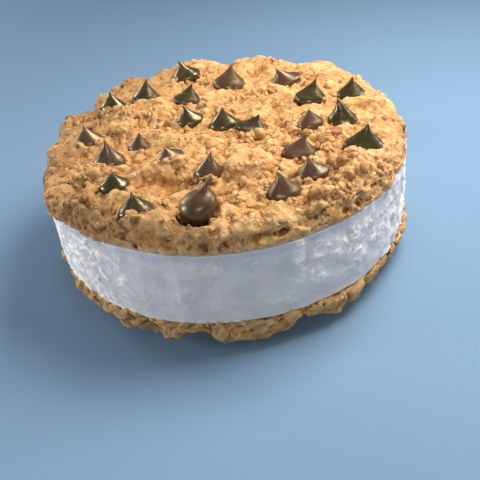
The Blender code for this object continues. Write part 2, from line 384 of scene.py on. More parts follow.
def plugs(chips, facing):
    """Dough that fills the sockets in a cookie's CAD solid. Under the round chip it lies deep."""
    parts = []
    sides = 24
    for chip in chips:
        if facing > 0:
            low = chip["foot"][2] - 0.8
            high = chip["foot"][2] + (0.3 if is_bulb(chip) else CHIP_SUNK + 0.35)
        else:
            low, high = chip["points"][:, 2].min() + 0.7, chip["points"][:, 2].max() + 1.0
        radius = chip["half_length"] + 0.7
        turn = np.arange(sides) * math.tau / sides
        ring = np.stack([np.cos(turn) * radius, np.sin(turn) * radius, np.zeros(sides)], axis=1)
        ring[:, :2] += chip["foot"][:2]
        points = np.concatenate([ring + [0, 0, low], ring + [0, 0, high]])
        faces = []
        for i in range(sides):
            j = (i + 1) % sides
            faces += [[i, j, sides + j], [i, sides + j, sides + i]]
            if 0 < i < sides - 1:
                faces += [[0, i + 1, i], [sides, sides + i, sides + i + 1]]
        parts.append((points, np.array(faces)))
    return parts


# ---------------------------------------------------------------- dough

COARSE_VOXEL = 0.6
PITS = 70
PIT_RADII = (0.35, 0.7)
WALL_RADIUS = 43.9  # of the ice cream's wall
FLAT_RADIUS = 43.4  # a cookie's side that faces the ice cream stays flat out to here
HIDDEN_FACE_RADIUS = 40  # and is one face out to here
BULB_HOLLOW = 1.9  # depth of the hollow round the round chip
LIP = (-75, 12)  # the bearing and reach of a lip and a groove under the upper cookie's rim
FRINGE_HANG = 0.6  # how far crumbs hang past the upper cookie's flat side
FRINGE_COUNT = 1000
RIM_STEPS = 240
RIM_PROUD = 0.35  # how far crumbs may stand out past the rim
MOST_TRIANGLES = 196000
PIT_STEPS = 4  # how many times the surface is evened out to find its pits
HILL_STEPS = 45  # and its hills
GRAIN_TOUCH = 0.35  # dough this near to a separate grain is in its shade
# Sorts of crumbs: (count, smallest radius, spread of radii, power, least and most sunk as shares)
CRUMB_KINDS = (
    (1500, 0.80, 0.80, 1.4, 0.50, 0.85),
    (2200, 0.45, 0.45, 1.5, 0.40, 0.80),
    (60, 1.30, 0.90, 1.3, 0.35, 0.65),
)
# Sorts of separate grains on top: the same, and the crumb's template
GRAIN_KINDS = (
    (190, 0.90, 0.70, 1.5, 0.35, 0.75, FINE_CRUMB),
    (1600, 0.34, 0.50, 1.5, 0.30, 0.75, CRUMB),
)

# Long lumps on the lower cookie's rim: (bearing, height, half length, half height)
EDGE_LUMPS = (
    (-96, 5.6, 2.4, 1.1),
    (-90, 5.8, 1.8, 1.0),
    (-84, 5.7, 2.6, 1.2),
    (-77, 5.8, 2.7, 1.2),
    (-70, 5.7, 2.3, 1.3),
    (-63, 5.8, 2.9, 1.2),
    (-55, 5.8, 3.1, 1.3),
    (-47.5, 5.9, 2.3, 1.2),
    (-41, 6.0, 1.9, 1.1),
    (-35, 6.0, 1.7, 1.0),
    (-29, 6.0, 1.8, 1.0),
    (-23, 6.1, 1.5, 0.9),
    (-17, 6.0, 1.7, 1.0),
    (-10, 6.0, 1.5, 0.9),
    (-122, 5.2, 1.6, 1.0),
    (-127, 5.6, 1.4, 0.9),
    (-133, 5.5, 1.8, 1.0),
    (-141, 5.7, 1.6, 0.9),
    (-149, 5.6, 1.8, 0.9),
    (-158, 5.7, 1.5, 0.9),
    (-168, 5.7, 1.7, 0.9),
)

# The slabs, ridges and hollows on the upper cookie: (x, y, half length, half width, height, bearing of
# the long way), from the ice cream's axis
FORMS = (
    (-18.0, 8.8, 7.0, 5.2, 1.8, 5),
    (-18.6, 9.4, 4.6, 3.0, -1.2, 5),
    (-22.9, 0.8, 3.6, 3.0, 1.5, 0),
    (-27.5, 12.6, 4.2, 1.5, 1.6, -10),
    (-14.0, -20.6, 8.0, 1.7, 1.3, 5),
    (-14.0, -25.0, 6.0, 2.6, -1.1, 0),
    (-28.5, -18.0, 5.2, 1.8, 1.2, 20),
    (-24.0, -29.0, 4.6, 2.0, 0.9, 10),
    (-36.5, -3.5, 4.6, 4.6, 0.7, 0),
    (-17.0, -39.0, 5.6, 3.6, 1.2, 0),
    (-11.0, -30.5, 5.4, 2.0, 0.6, 0),
    (5.2, -24.0, 5.4, 4.4, 1.9, 20),
    (6.5, -15.5, 4.6, 2.2, 1.0, 0),
    (7.0, -12.6, 4.6, 1.6, -1.0, 0),
    (4.4, -32.3, 5.0, 2.2, 1.0, 10),
    (12.5, -27.0, 3.0, 1.8, 0.8, 30),
    (30.5, -24.2, 6.2, 1.7, 1.4, 0),
    (35.0, 1.2, 5.4, 1.6, 1.3, -5),
    (25.0, -14.0, 4.4, 2.2, 1.1, 20),
    (27.0, -29.5, 5.0, 2.6, 1.4, 30),
    (18.0, -35.6, 4.0, 2.0, 1.0, 0),
    (36.5, -11.0, 3.6, 3.2, 0.9, 40),
    (12.0, 35.0, 5.6, 5.0, 0.7, 10),
    (20.5, 36.5, 4.4, 4.4, -1.3, 0),
    (28.5, 24.0, 6.4, 5.2, 0.9, -30),
    (38.0, 5.0, 4.0, 5.6, 0.5, 0),
    (-20.0, 30.0, 6.6, 5.0, 0.6, 20),
    (-35.5, 9.8, 5.0, 4.2, 0.5, 30),
    (-3.0, 37.0, 7.0, 4.0, 1.7, 0),
    (-12.0, 35.0, 4.0, 3.0, 0.8, 0),
    (17.0, 4.0, 4.6, 3.2, -0.9, 0),
    (10.5, 1.0, 3.8, 2.6, 0.9, 40),
    (-12.0, -9.0, 3.0, 2.2, 0.8, 0),
    (-4.0, -12.0, 4.4, 2.4, 0.8, 10),
    (13.0, 13.5, 5.0, 2.4, 0.9, -10),
    (-2.0, 4.4, 3.6, 1.8, 0.7, 10),
)
# Where crumbs lie thick or thin on the upper cookie: (x, y, reach, how much)
CRUMBLY = (
    (25, -30, 15, 0.80),
    (-36, -18, 12, 0.60),
    (-27, 10, 7, 0.60),
    (-24, -30, 6, 0.60),
    (5, -34, 8, 0.30),
    (30, -12, 9, 0.30),
    (-16, -38, 7, -0.95),
    (-13, -25, 6, -0.80),
    (-19, 9, 5, -0.70),
    (13, 28, 8, -0.50),
    (3, -22, 4, -0.50),
    (22, -2, 6, -0.30),
    (-38, -3, 5, -0.40),
    (44, 6, 12, -0.70),
    (38, 20, 8, -0.40),
)


def around(points, x=0.0, y=0.0):
    """How far points are, seen from above, from a place that is measured from the axis."""
    return np.hypot(points[:, 0] - x - AXIS[0], points[:, 1] - y - AXIS[1])


def crumbliness(points):
    """0 where the upper cookie's dough is smooth, 1 where it breaks up into separate grains."""
    rough = 0.40 + 0.45 * noise_at(points, 11.0, 4.1)
    for x, y, reach, amount in CRUMBLY:
        rough += amount * bell(around(points, x, y), reach)
    return np.clip(rough, 0, 1)


def forms_at(points):
    """Height of the slabs, ridges and hollows, each with a broken outline and a steep edge."""
    shift = 1.5 * noise_at(points, 4.0, 11.0), 1.5 * noise_at(points, 4.0, 17.0)
    x, y = points[:, 0] - AXIS[0] + shift[0], points[:, 1] - AXIS[1] + shift[1]
    height = np.zeros(len(points))
    for centre_x, centre_y, length, width, rise, bearing in FORMS:
        along, across = turned(x - centre_x, y - centre_y, math.radians(bearing))
        height += rise * smoothstep(1.25, 0.75, np.hypot(along / length, across / width))
    return height


def gap_to(points, chip):
    """How far points stand from the side of a chip, in millimetres."""
    offset = points[:, :2] - chip["foot"][:2]
    along, across = turned(offset[:, 0], offset[:, 1], chip["long_way"])
    reach = np.hypot(along / chip["half_length"], across / chip["half_width"])
    swell = BULB_SWELL if is_bulb(chip) else 1.0
    return (reach - swell) * chip["half_width"]


def flat_level(node, facing):
    """The height of the cookie's side that faces the ice cream."""
    low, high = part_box(node)
    return (low.z if facing > 0 else high.z) / MM


def coarse_dough(name, node, chips, facing):
    """The cookie's CAD solid with its sockets filled, a little slimmer, with its larger folds."""
    flat = flat_level(node, facing)
    mesh = fused(name, *joined([node_arrays(node)] + plugs(chips, facing)), COARSE_VOXEL)
    points, normals = points_of(mesh), normals_of(mesh)
    free = smoothstep(0.2, 1.6, facing * (points[:, 2] - flat))
    folds = 1.2 * (billow_at(points, 7.0, 1.7) - 0.5) + 0.7 * (billow_at(points, 3.6, 5.2) - 0.5)
    if facing > 0:
        upward = smoothstep(0.2, 0.7, normals[:, 2])
        points[:, 2] += forms_at(points) * upward * free
        folds *= 0.50 + 0.50 * crumbliness(points)
        folds -= 0.5
        for chip in filter(is_bulb, chips):
            hollow = BULB_HOLLOW * smoothstep(1.0, 0.5, gap_to(points, chip))
            points[:, 2] -= hollow * upward * (points[:, 2] > chip["foot"][2] + 1.0)
        side = smoothstep(0.8, 0.4, np.abs(normals[:, 2])) * zone(bearing_of(points), *LIP)
        above = points[:, 2] - flat - 0.3 * noise_at(points, 3.0, 95.0)
        folds += side * (0.6 * bell(above - 0.9, 0.8) - 1.2 * bell(above - 2.5, 0.9))
    else:
        folds *= smoothstep(0.3, 2.2, points[:, 2])
        groove_at = 4.0 + 0.9 * noise_at(points, 9.0, 91.0)
        groove = bell(points[:, 2] - groove_at, 1.1)
        groove *= smoothstep(-0.3, 0.2, noise_at(points, 7.0, 93.0))
        folds -= 0.6 + 1.0 * groove * smoothstep(0.7, 0.3, np.abs(normals[:, 2]))
    points += normals * (folds * free)[:, None]
    faces = rows_of(mesh.polygons, "vertices", 4)
    bpy.data.meshes.remove(mesh)
    return points, np.concatenate([faces[:, [0, 1, 2]], faces[:, [0, 2, 3]]])


def dough_crumbs(rng, points, faces, chips, flat, facing):
    """Crumbs sunk in the dough's face and side, with more of them round the chips."""

    def thickly(places, normals):
        seen = smoothstep(0.3, 0.9, facing * (places[:, 2] - flat))
        if facing < 0:
            seen *= smoothstep(0.15, 1.5, places[:, 2]) * 0.85 + 0.15
            seen *= 1 - 0.8 * brick_zone(places)
        for chip in chips:
            seen *= smoothstep(-0.8, 1.6, gap_to(places, chip))
        return seen * (0.25 + 1.2 * crumbliness(places))

    parts = []
    for count, smallest, spread, power, shallow, deep in CRUMB_KINDS:
        count = count // 2 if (facing < 0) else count
        places, normals = scattered(rng, points, faces, count, thickly)
        coarse = 0.3 + 0.7 * crumbliness(places)
        sizes = smallest + spread * coarse * rng.uniform(0, 1, count) ** power
        sunk = rng.uniform(shallow, deep, count) + 0.15 * (facing < 0)
        centres = places - normals * (sizes * sunk)[:, None]
        lowest = flat + facing * sizes * 0.85
        centres[:, 2] = np.where(facing * (centres[:, 2] - lowest) < 0, lowest, centres[:, 2])
        if facing < 0:
            centres[:, 2] = np.maximum(centres[:, 2], sizes * 1.2)
        parts.append(crumbs(rng, centres, sizes))
    if facing > 0:
        parts.append(chip_collars(rng, chips))
    else:
        parts.append(edge_lumps(rng))
    parts.append(fringe(rng, points, flat, facing))
    return joined(parts)


def bearing_of(points):
    return np.degrees(np.arctan2(points[:, 1] - AXIS[1], points[:, 0] - AXIS[0]))


def brick_zone(points):
    """1 where the lower cookie's edge is a row of long lumps, with few crumbs among them."""
    return zone(bearing_of(points), -48, 38)


def edge_lumps(rng):
    """The long lumps that lie side by side along the lower cookie's upper edge."""
    parts = []
    for bearing, height, length, tall in EDGE_LUMPS:
        shape, faces = crumbs(rng, np.zeros((1, 3)), np.ones(1), FINE_CRUMB)
        turn = math.radians(bearing)
        out = np.array([math.cos(turn), math.sin(turn), 0])
        aside = np.array([-math.sin(turn), math.cos(turn), 0.12])
        points = shape[:, :1] * aside * length + shape[:, 1:2] * out * tall
        points += shape[:, 2:] * np.array([0, 0, 1]) * tall
        parts.append((points + out * (WALL_RADIUS + 0.6) + np.array([*AXIS, height + 0.45]), faces))
    return joined(parts)


def rim_step(bearings):
    """Which step round the rim each bearing falls in."""
    return (bearings % 360 / 360 * RIM_STEPS).astype(int) % RIM_STEPS


def rim_of(points):
    """How far points reach out from the axis, for each step round it."""
    reach = np.zeros(RIM_STEPS)
    np.maximum.at(reach, rim_step(bearing_of(points)), around(points))
    return reach


def rim_reach(points, flat, facing, bearings):
    """How far the dough reaches out at each bearing, just above its flat side."""
    reach = rim_of(points[facing * (points[:, 2] - flat) < 1.8])
    return reach[rim_step(bearings)]


def trimmed(points, rim):
    """Crumbs that stand out past the dough's own rim are pressed back towards it."""
    even = (rim + np.roll(rim, 1) + np.roll(rim, -1) + np.roll(rim, 2) + np.roll(rim, -2)) / 5
    offset = points[:, :2] - AXIS
    out = around(points)
    over = np.maximum(out - (even[rim_step(bearing_of(points))] + RIM_PROUD), 0)
    points[:, :2] -= offset / np.maximum(out, 1)[:, None] * (0.75 * over)[:, None]
    return points


def fringe(rng, points, flat, facing):
    """Crumbs round the rim, which hang past the ice cream's edge in uneven clusters."""
    count = FRINGE_COUNT
    turn = rng.uniform(0, math.tau, count)
    spots = np.stack([np.cos(turn) * 44, np.sin(turn) * 44, np.full(count, 3.0 * facing)], axis=1)
    hang = np.clip(0.4 + 1.1 * noise_at(spots, 8.0, 31.0) + 0.4 * noise_at(spots, 2.6, 33.0), 0, 1.3)
    hang *= 1 - 0.7 * zone(np.degrees(turn), 15, 45)
    sizes = 0.32 + 0.75 * rng.uniform(0, 1, count) ** 2.0
    share = rng.uniform(0, 1, count)
    rim = rim_reach(points, flat, facing, np.degrees(turn))
    if facing > 0:
        reach = rim - sizes * 0.6 + (WALL_RADIUS + sizes * 1.1 - rim) * share**2 * (rim > 42.8)
        hanging = (reach > WALL_RADIUS + sizes * 0.2) * hang * FRINGE_HANG * rng.uniform(0.3, 1, count)
        height = flat + 0.95 * sizes - (0.2 + hanging) * share
    else:
        sizes *= 1 - 0.5 * brick_zone(spots)
        reach = WALL_RADIUS - 0.2 + (rim - sizes * 1.1 - WALL_RADIUS + 0.2) * share
        height = flat - sizes * rng.uniform(-0.2, 0.7, count)
    x, y = AXIS[0] + np.cos(turn) * reach, AXIS[1] + np.sin(turn) * reach
    centres = np.stack([x, y, height], axis=1)
    return crumbs(rng, centres, sizes)


def chip_collars(rng, chips):
    """Crumbs that lie against the chips' feet, thickest and highest in front of them."""
    centres, sizes = [], []
    for chip in chips:
        bulb = is_bulb(chip)
        bank = 0.0 if bulb else rng.uniform(0.0, 0.9)
        for _ in range(9 if bulb else 20):
            turn = rng.uniform(0, math.tau)
            size = 0.30 + 0.45 * rng.uniform() ** 1.6
            reach = chip["half_width"] * (BULB_SWELL if bulb else 1) + rng.uniform(0.0, 0.8)
            reach += 1.3 if bulb else 0
            along = reach * chip["half_length"] / chip["half_width"]
            x, y = turned(along * math.cos(turn), reach * math.sin(turn), -chip["long_way"])
            front = max(-y / math.hypot(x, y), 0.0)
            z = chip["foot"][2] + CHIP_SUNK - rng.uniform(0.2, 0.9) + bank * front**2
            centres.append([chip["foot"][0] + x, chip["foot"][1] + y, z])
            sizes.append(size)
    return crumbs(rng, np.array(centres), np.array(sizes))


def press_pits(rng, points, normals, keep):
    """Small uneven pits, where grains have fallen out."""
    uneven = warped(points, 0.45, 1.1, 47.0)
    tree = tree_of(uneven)
    sink = np.zeros(len(points))
    for i in rng.choice(len(points), PITS, p=keep / keep.sum()):
        radius = rng.uniform(*PIT_RADII)
        depth = radius * rng.uniform(0.8, 1.5)
        for _, j, distance in tree.find_range(uneven[i], radius * 1.4):
            sink[j] = max(sink[j], depth * math.exp(-2.0 * (distance / radius) ** 2))
    return points - normals * sink[:, None]


def dissolve_hidden(mesh, flat):
    """Turns the hidden middle of the flat side into one face."""
    bm = bmesh.new()
    bm.from_mesh(mesh)
    hidden = [
        face
        for face in bm.faces
        if all(
            abs(vert.co.z / MM - flat) < 0.02
            and math.hypot(vert.co.x, vert.co.y) < HIDDEN_FACE_RADIUS * MM
            for vert in face.verts
        )
    ]
    bmesh.ops.dissolve_faces(bm, faces=hidden, use_verts=True)
    bm.to_mesh(mesh)
    bm.free()


def held_in(values, low, high, margin):
    """Values that would pass the limits are eased back between them."""
    over = np.maximum(values - (high - margin), 0)
    under = np.maximum((low + margin) - values, 0)
    eased = values - over + margin * (1 - np.exp(-over / margin))
    return eased + under - margin * (1 - np.exp(-under / margin))


def cracks_at(points):
    """Short winding cracks: 1 in the middle of one, 0 away from it."""
    line = strokes(warped(points, 1.0, 2.0, 41.0), 4.6, 44.0, 0.075)
    return line * smoothstep(0.0, 0.3, noise_at(points, 5.0, 45.0))


def boxed(points):
    """Points kept inside the CAD model's box."""
    for axis in range(3):
        low, high = cad_box[0][axis] / MM, cad_box[1][axis] / MM
        margin = 0.5 if axis < 2 else 0.01
        points[:, axis] = held_in(points[:, axis], low, high, margin)
    return points


def dough_piece(name, node, chips, facing, seed):
    """A crumbly cookie grown from its CAD solid, and the separate grains that lie on it.

    `facing` is 1 if its face looks up, or -1.
    """
    rng = np.random.default_rng(seed)
    flat = flat_level(node, facing)
    coarse = coarse_dough(name, node, chips, facing)
    sunk = dough_crumbs(rng, *coarse, chips, flat, facing)
    mesh = fused(name, *joined([coarse, sunk]), VOXEL if facing > 0 else VOXEL * 1.15)

    points, normals = points_of(mesh), normals_of(mesh)
    offset = points[:, 2] - flat
    out = around(points)
    past_wall = smoothstep(FLAT_RADIUS, WALL_RADIUS, out)
    free = np.maximum(smoothstep(0.1, 0.8, facing * offset), past_wall)
    if facing > 0:
        rough = crumbliness(points)
    else:
        rough = np.clip(0.8 + 0.5 * noise_at(points, 6.0, 97.0), 0, 1)
        rough = rough * (1 - 0.7 * brick_zone(points))
    uneven = warped(points, 0.9, 2.5, 21.0)
    fine = (0.12 + 0.42 * rough) * (cells_at(uneven, 3.2, 3.0) ** 0.5 - 0.8)
    fine += (0.07 + 0.14 * rough) * (cells_at(uneven, 1.7, 8.0) ** 0.5 - 0.8)
    fine += 0.10 * noise_at(points, 2.2, 2.0) + 0.07 * noise_at(points, 0.85, 6.0)
    side = smoothstep(0.75, 0.35, np.abs(normals[:, 2]))
    split = 1 + 1.3 * zone(bearing_of(points), -165, 24)
    fine -= cracks_at(points) * split * (0.15 + 0.55 * side) * (0.3 + 0.7 * rough)
    points += normals * (fine * free)[:, None]
    keep = free * (0.1 + side) * (points[:, 2] > 0.8)
    points = press_pits(rng, points, normals, keep)
    on_flat = (np.abs(points[:, 2] - flat) < 0.15) & (out < FLAT_RADIUS)
    points[on_flat, 2] = flat
    rim = rim_of(coarse[0])
    set_points(mesh, boxed(trimmed(points, rim)))

    dissolve_hidden(mesh, flat)
    mesh = thinned(mesh, MOST_TRIANGLES)
    points = points_of(mesh)
    # Painted shade and highlight: the colour is darkened in the pits of the fine relief and paled on its
    # crests
    pit_shade_crest_light = relief_of(mesh, PIT_STEPS)
    grains = []
    if facing > 0:
        grains, centres, sizes = loose_grains(rng, mesh, chips, flat, rim)
        # Painted shade on the dough where it touches a grain
        pit_shade_crest_light -= 0.07 * contact_with(points, centres, sizes)
        # Painted shade round each chip's foot
        for chip in chips:
            pit_shade_crest_light -= 0.13 * smoothstep(0.6, 0.15, gap_to(points, chip))
    else:
        # Painted shade along the lower cookie's seam under the ice cream
        seam_shade = smoothstep(WALL_RADIUS + 0.5, WALL_RADIUS + 0.1, around(points))
        pit_shade_crest_light -= 0.12 * bell(points[:, 2] - flat, 0.30) * seam_shade
    set_attribute(mesh, "pit_shade_crest_light", pit_shade_crest_light)
    # The larger relief, which the colour paints pale on hills as highlight and darker in hollows as
    # shade
    set_attribute(mesh, "hill", relief_of(mesh, HILL_STEPS))
    paint_stains_and_shade(mesh, facing)
    mesh.shade_smooth()
    return add_object(name, mesh), grains


def loose_grains(rng, mesh, chips, flat, rim):
    """Crisp grains that lie on the fused dough, gathered in the crumbly parts.

    Gives each sort's points, triangles and rises over the dough, then all centres and sizes.
    """
    mesh.calc_loop_triangles()
    points, faces = points_of(mesh), rows_of(mesh.loop_triangles, "vertices", 3)

    def thickly(places, normals):
        seen = smoothstep(0.5, 1.2, places[:, 2] - flat)
        clusters = smoothstep(-0.05, 0.25, noise_at(places, 4.2, 81.0))
        steep = smoothstep(0.9, 0.5, normals[:, 2])
        for chip in chips:
            beside = np.hypot(places[:, 0] - chip["foot"][0], places[:, 1] - chip["foot"][1])
            seen = seen * smoothstep(chip["half_width"] - 0.7, chip["half_width"] + 0.1, beside)
        return seen * (0.01 + clusters * crumbliness(places) ** 3 * (0.5 + 1.0 * steep))

    grains, all_centres, all_sizes = [], [], []
    for count, smallest, spread, power, shallow, deep, template in GRAIN_KINDS:
        count = count
        places, normals = scattered(rng, points, faces, count, thickly)
        sizes = smallest + spread * rng.uniform(0, 1, count) ** power
        sizes *= 1 - 0.45 * smoothstep(41, 44, around(places))
        centres = places - normals * (sizes * rng.uniform(shallow, deep, count))[:, None]
        shapes, triangles = crumbs(rng, centres, sizes, template)
        corners = len(template[0])
        offset = shapes - np.repeat(places, corners, axis=0)
        rise = np.einsum("ij,ij->i", offset, np.repeat(normals, corners, axis=0))
        grains.append((trimmed(shapes, rim), triangles, rise / np.repeat(sizes, corners)))
        all_centres.append(centres)
        all_sizes.append(sizes)
    return grains, np.concatenate(all_centres), np.concatenate(all_sizes)


def contact_with(points, centres, sizes):
    """1 where a point touches a grain, falling to 0 a little way off."""
    tree = tree_of(centres)
    furthest = 2.2  # past the largest grain's radius and its touch
    contact = np.zeros(len(points))
    for j, point in enumerate(points):
        for _, i, distance in tree.find_range(point, furthest):
            gap = distance - sizes[i]
            if gap < GRAIN_TOUCH:
                contact[j] = max(contact[j], 1 - max(gap, 0) / GRAIN_TOUCH)
    return contact


def grains_piece(name, grains):
    """The separate grains as one mesh."""
    points, faces = joined([(points, faces) for points, faces, _ in grains])
    rise = np.concatenate([rise for _, _, rise in grains])
    mesh = mesh_of(name, boxed(points), faces)
    bumps = 0.07 * noise_at(points, 0.9, 4.0) + 0.05 * noise_at(points, 0.5, 7.0)
    set_points(mesh, boxed(points + normals_of(mesh) * bumps[:, None]))
    # Painted shade low on each grain where it meets the dough, and a painted highlight on its top
    set_attribute(mesh, "pit_shade_crest_light", -0.10 * smoothstep(0.12, -0.05, rise))
    set_attribute(mesh, "hill", 0.6 * smoothstep(0.1, 0.8, rise))
    paint_stains_and_shade(mesh, 1)
    mesh.shade_smooth()
    return add_object(name, mesh)


# Where the upper cookie's dough takes another colour: (x, y, reach, strength), from the axis
STAINS_AND_SHADE = {
    "toasted": (
        (-16, -38, 9, 1.0),
        (-6, -42, 6, 0.6),
        (-18, 10, 6, 0.5),
        (16, 30, 8, 0.5),
        (24, -27, 6, 0.4),
        (17, 5, 5, 0.4),
    ),
    "olive": (
        (-14.5, -8.0, 3.0, 1.0),
        (6.0, -13.0, 2.6, 1.0),
        (-28.0, 9.0, 5.0, 0.8),
        (-34.0, -25.0, 4.0, 0.7),
        (28, -37, 5, 0.6),
    ),
    # Painted shade: these spots darken the dough over the left side and at the right edge
    "painted_shade": (
        (-31, -31, 18, 0.9),
        (-42, -8, 16, 1.0),
        (-36, 16, 20, 1.0),
        (-20, 32, 18, 0.8),
        (-10, -44, 8, 0.5),
        (42, -8, 7, 0.5),
    ),
    "smeared": ((-4.0, 7.4, 2.6, 1.0), (-6.0, -42.5, 2.5, 0.5), (20.5, -19.5, 1.6, 1.0)),
}


def paint_stains_and_shade(mesh, facing):
    """Writes how much of each stain, and of the painted shade, lies at each point. The lower cookie has
    only olive patches.
    """
    points = points_of(mesh)
    for name, spots in STAINS_AND_SHADE.items():
        amount = np.zeros(len(points))
        if facing > 0:
            for x, y, reach, strength in spots:
                amount = np.maximum(amount, strength * bell(around(points, x, y), reach))
        elif name == "olive":
            patches = smoothstep(-0.2, 0.3, noise_at(points, 5.0, 83.0))
            amount = 0.7 * patches * zone(bearing_of(points), -108, 42)
        set_attribute(mesh, name, amount)


# ---------------------------------------------------------------- ice cream

WALL_AROUND = 1000
WALL_UP = 84
HIDDEN_RADIUS = 39.0
WALL_HEIGHT = 18.1
WALL_HILL_STEPS = 12
WALL_BEVEL = 1.3  # the wall's shape here is carried straight on to its edges
CAST_FROM = 60  # the rays that find the wall start this far out
# Bearings with frost in strands and in flakes: (middle, reach, strength)
STRAND_ZONES = ((203, 46, 1.0), (95, 40, 0.8))
FLAKE_ZONES = ((-20, 36, 1.0), (30, 40, 0.8), (150, 30, 0.8))
# Sorts of strokes: (weight, slant, stretch, size, noise layer, width)
STRANDS = (
    (1.0, -42, 4.0, 1.3, 3.3, 0.20),
    (0.8, -55, 3.5, 0.85, 8.1, 0.22),
    (0.5, -20, 3.0, 0.9, 5.7, 0.16),
)
FLAKES = (
    (0.9, 40, 2.4, 0.9, 21.0, 0.16),
    (0.8, -50, 2.0, 0.75, 23.0, 0.16),
    (0.6, -5, 1.6, 0.6, 25.0, 0.18),
)


def wall_profile(height):
    """(radius, height) up the bottom's edge, the wall and the top's edge. None is on the wall."""
    edge = [(HIDDEN_RADIUS + i * 0.8, 0.0) for i in range(6)]
    wall = [(None, height * i / WALL_UP) for i in range(WALL_UP + 1)]
    over = [(radius, height) for radius, _ in reversed(edge)]
    return edge + wall + over


def slanted(along, height, degrees, stretch):
    """Places on the unrolled wall for noise that runs in long strokes at this slant."""
    run, across = turned(along, height, math.radians(degrees))
    return np.stack([run / stretch, across, np.zeros(len(along))], axis=1)


def stroke_sum(along, height, kinds):
    """Strokes of several sorts, laid over each other on the unrolled wall."""
    return sum(
        weight * strokes(slanted(along, height, slant, stretch), size, layer, width)
        for weight, slant, stretch, size, layer, width in kinds
    )


def strongest(bearing, zones):
    """The most that any of these zones gives at each bearing."""
    return np.max([strength * zone(bearing, middle, reach) for middle, reach, strength in zones], axis=0)


# Frosty patches on the wall: (bearing, height share, half length, half height, slant, strength)
FROST = (
    (-96, 0.80, 1.8, 2.2, 0, 0.45),
    (-87, 0.86, 2.0, 1.5, 0, 0.40),
    (-104, 0.45, 3.4, 1.8, 20, 0.30),
    (-80, 0.55, 3.0, 1.6, 20, 0.25),
    (-74, 0.82, 2.0, 3.4, 0, 0.95),
    (-67, 0.78, 3.0, 3.0, 0, 0.75),
    (-61, 0.66, 4.4, 3.0, -30, 0.85),
    (-71, 0.46, 5.0, 2.4, -20, 0.60),
    (-54, 0.78, 3.2, 4.0, -10, 0.85),
    (-48, 0.80, 3.0, 3.0, 30, 0.90),
    (-55, 0.46, 4.2, 2.6, -25, 0.70),
    (-45, 0.55, 3.4, 3.6, 0, 0.70),
    (-40, 0.80, 3.4, 3.0, 20, 0.80),
    (-60, 0.24, 4.0, 1.6, 20, 0.40),
    (-78, 0.24, 4.0, 1.6, -10, 0.35),
)


def patches_at(along, height):
    """How much of a frosty patch lies at each place of the unrolled wall."""
    amount = np.zeros(len(along))
    for bearing, share, length, tall, slant, strength in FROST:
        x = along - math.radians(bearing % 360) * WALL_RADIUS
        y = height - share * WALL_HEIGHT
        run, across = turned(x, y, math.radians(slant))
        reach = np.hypot(run / length, across / tall)
        amount = np.maximum(amount, strength * smoothstep(1.30, 0.50, reach))
    return amount


def frost_at(points, bearing, up):
    """Relief of the wall and how white it is: strands, smooth stretches and flaky patches."""
    along = np.radians(bearing % 360) * WALL_RADIUS
    height = up * WALL_HEIGHT
    along = along + 0.9 * noise_at(points, 4.0, 51.0) + 0.5 * noise_at(points, 1.4, 53.0)
    height = height + 0.9 * noise_at(points, 4.0, 52.0) + 0.5 * noise_at(points, 1.4, 54.0)
    strand_zone = strongest(bearing, STRAND_ZONES)
    flake_zone = strongest(bearing, FLAKE_ZONES)

    strands = stroke_sum(along, height, STRANDS)
    strands *= smoothstep(-0.45, 0.15, noise_at(points, 2.4, 4.3))
    strands = np.clip(strands, 0, 1.3)

    field = noise_at(points, 5.0, 61.0) + 0.5 * noise_at(points, 2.2, 62.0)
    scattered_patch = 0.75 * flake_zone * smoothstep(-0.30, 0.25, field)
    patch = np.maximum(patches_at(along, height), scattered_patch)
    flakes = stroke_sum(along, height, FLAKES)
    flakes *= smoothstep(-0.3, 0.2, noise_at(points, 1.8, 27.0))
    flakes = np.clip(flakes, 0, 1.2)
    cliffs = strokes(slanted(along, height, -38, 5.0), 3.6, 71.0, 0.045)
    cliffs *= smoothstep(0.0, 0.3, noise_at(points, 4.0, 72.0)) * zone(bearing, -50, 40)

    white = strand_zone * strands + patch * (0.35 + 0.85 * flakes) + 0.4 * cliffs
    scrapes = strokes(slanted(along, height, -86, 8.0), 1.6, 11.0, 0.08)
    white += 0.10 * zone(bearing, -100, 24) * scrapes
    relief = 0.30 * noise_at(points, 11.0, 1.0) + 0.20 * noise_at(points, 4.5, 2.0)
    relief += 0.05 * noise_at(points, 1.0, 3.0) + 0.04 * noise_at(points, 0.6, 5.0)
    relief += strand_zone * (0.38 * strands - 0.30)
    relief += 0.50 * patch + 0.30 * patch * flakes + 0.15 * cliffs - 0.30 * flake_zone
    return relief, np.clip(white, 0, 1.2)


